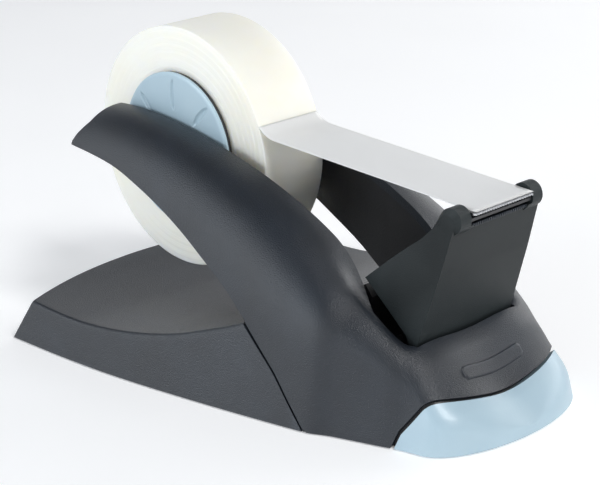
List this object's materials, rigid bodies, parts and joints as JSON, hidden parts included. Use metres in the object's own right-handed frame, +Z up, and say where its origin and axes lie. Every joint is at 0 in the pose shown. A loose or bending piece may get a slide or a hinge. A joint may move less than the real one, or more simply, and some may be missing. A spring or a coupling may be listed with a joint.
{
  "type": "desk tape dispenser",
  "caption": "Weighted desk tape dispenser: two arched arms carry a lift-out reel of clear tape over a flared tail, with a raised serrated cutter at the front.",
  "frame": {"origin": "on the table under the middle of the object", "axes": "+X to the front, where the cutter is; +Z up; the object is symmetric about y = 0"},
  "size_m": [0.1405, 0.087, 0.0772],
  "materials": {
    "charcoal_plastic": "fine-grained moulded charcoal plastic",
    "black_plastic": "satin black moulded plastic",
    "blue_plastic": "satin pale grey-blue moulded plastic",
    "core_plastic": "plain moulded core",
    "tape": "frosted translucent adhesive tape",
    "steel": "bright steel",
    "iron": "raw iron",
    "rubber": "soft non-slip sheet"
  },
  "bodies": {
    "dispenser": {"hood_shell": "charcoal_plastic", "tail_shell": "charcoal_plastic", "cutter_deck": "black_plastic", "arm_liner_left": "black_plastic", "arm_liner_right": "black_plastic", "toe_cap": "blue_plastic", "cutter_housing": "charcoal_plastic", "blade_carrier": "black_plastic", "cutter_blade": "steel", "blade_rivets": "steel", "cutter_screws": "steel", "base_plate": "black_plastic", "non_slip_pad": "rubber", "front_ballast": "iron", "rear_ballast": "iron", "base_screws": "steel", "ballast_screws": "steel"},
    "tape_lead": {"tape_strip": "tape"},
    "reel": {"hub_half_left": "black_plastic", "hub_half_right": "black_plastic", "hub_cap_left": "blue_plastic", "hub_cap_right": "blue_plastic", "tape_core": "core_plastic", "tape_roll": "tape"}
  },
  "joints": [
    {"name": "lift_out", "type": "slide", "parent": "dispenser", "child": "tape_lead", "axis": [0.4384, 0, 0.8988], "range_m": [0, 0.05]},
    {"name": "reel_spin", "type": "hinge", "parent": "tape_lead", "child": "reel", "pos_m": [-0.032, 0, 0.0475], "axis": [0, 1, 0], "continuous": true}
  ]
}
